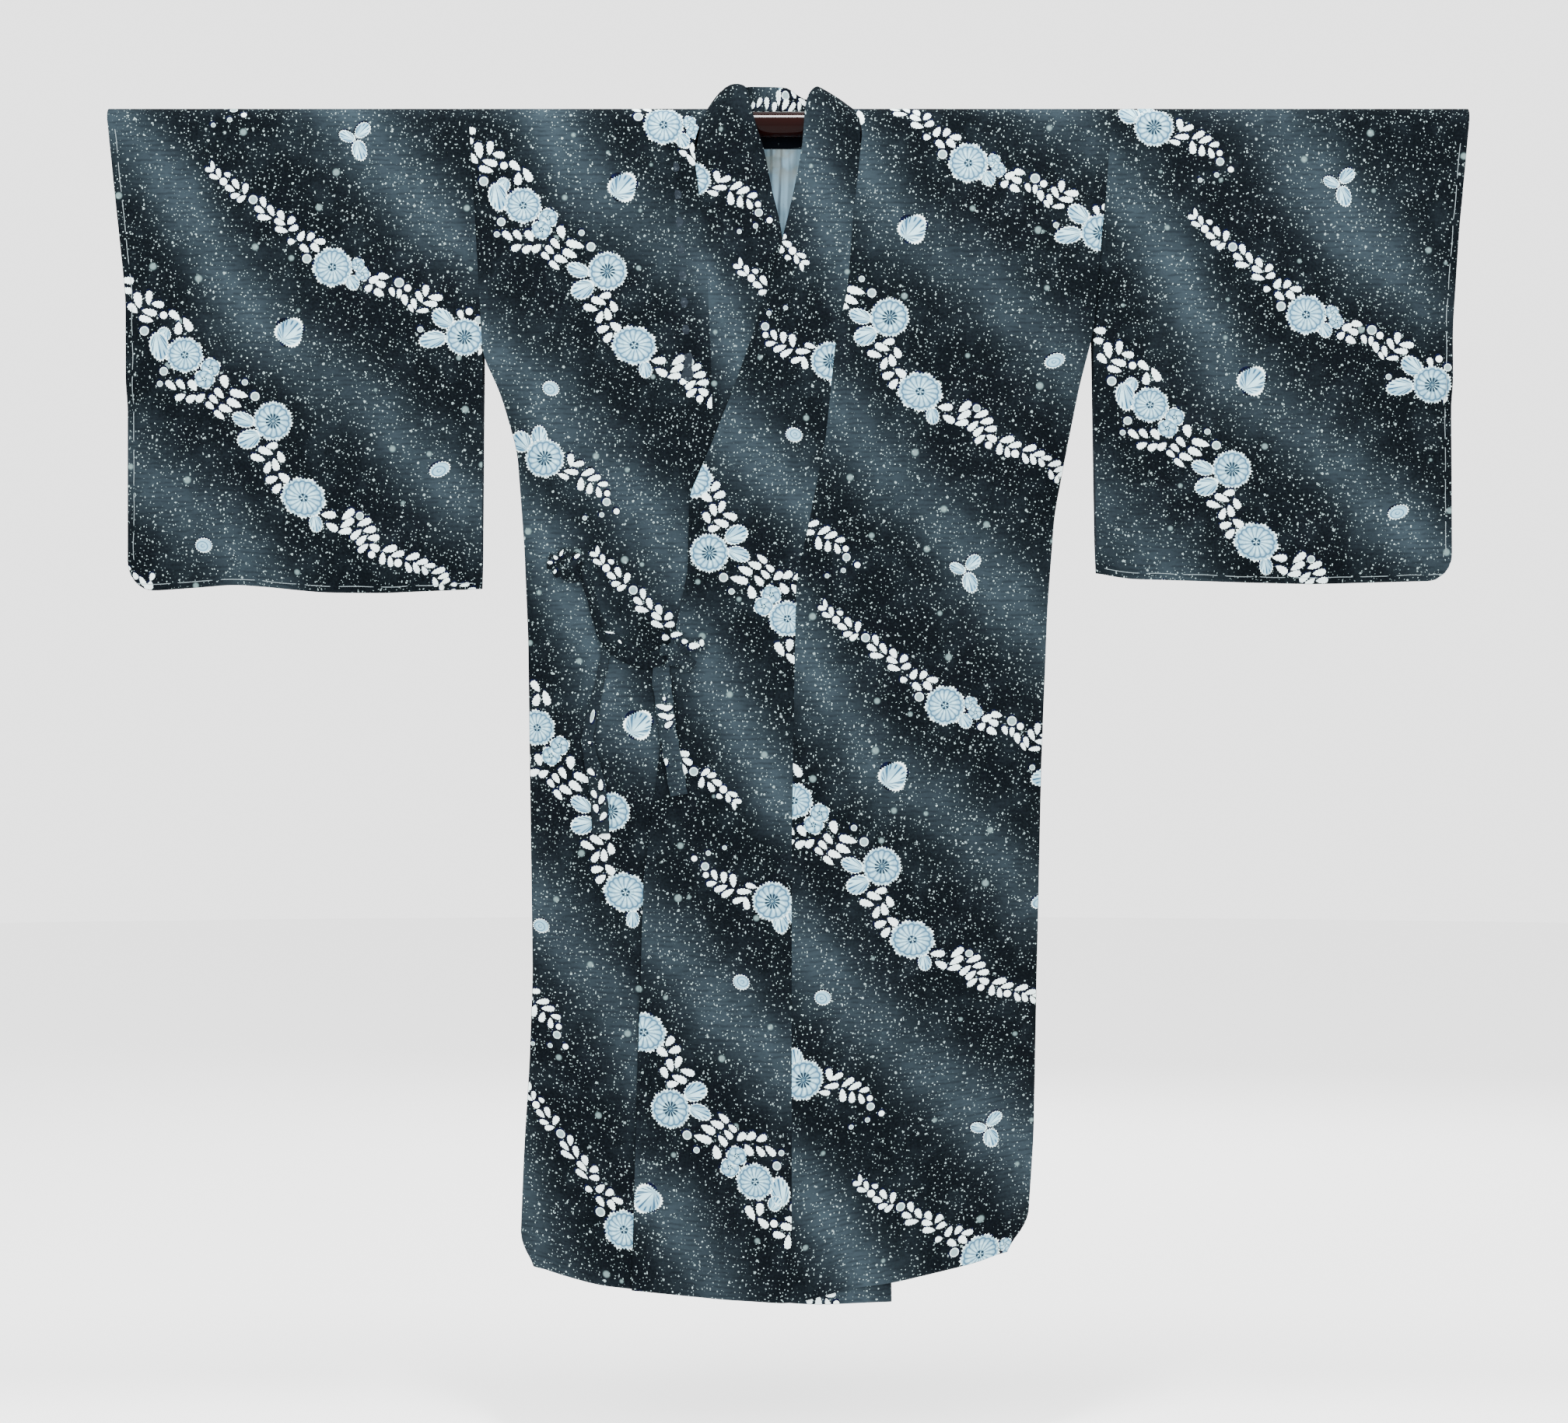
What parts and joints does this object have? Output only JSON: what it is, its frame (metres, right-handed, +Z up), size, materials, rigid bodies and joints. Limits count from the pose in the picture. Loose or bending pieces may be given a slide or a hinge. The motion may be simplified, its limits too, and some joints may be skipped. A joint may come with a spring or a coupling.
{
  "type": "kimono coat on a rod",
  "caption": "Woman's kimono coat with square sleeves, crossed front bands and knotted ties, hung flat on a lacquered rod.",
  "frame": {"origin": "middle of the rod's axis, where the rod is held", "axes": "+Z up, +X along the rod towards the wearer's left sleeve, -Y towards the viewer of the coat's front"},
  "size_m": [1.3099, 0.0532, 1.1717],
  "materials": {
    "printed_crepe": "sheer ribbed crepe, dark blue-black with smoky grey bands and white flower garlands",
    "pale_lining": "thin pale grey-white silk lining",
    "brown_lacquer": "high gloss dark red-brown lacquer"
  },
  "bodies": {
    "root": {"body_left": "printed_crepe", "body_right": "printed_crepe", "band_left": "printed_crepe", "band_right": "printed_crepe", "sleeve_left": "printed_crepe", "sleeve_right": "printed_crepe", "back_lining": "pale_lining", "knot_side": "printed_crepe", "knot_edge": "printed_crepe", "tie_across": "printed_crepe", "tie_end_long": "printed_crepe", "tie_end_short": "printed_crepe", "rod": "brown_lacquer"}
  },
  "joints": []
}
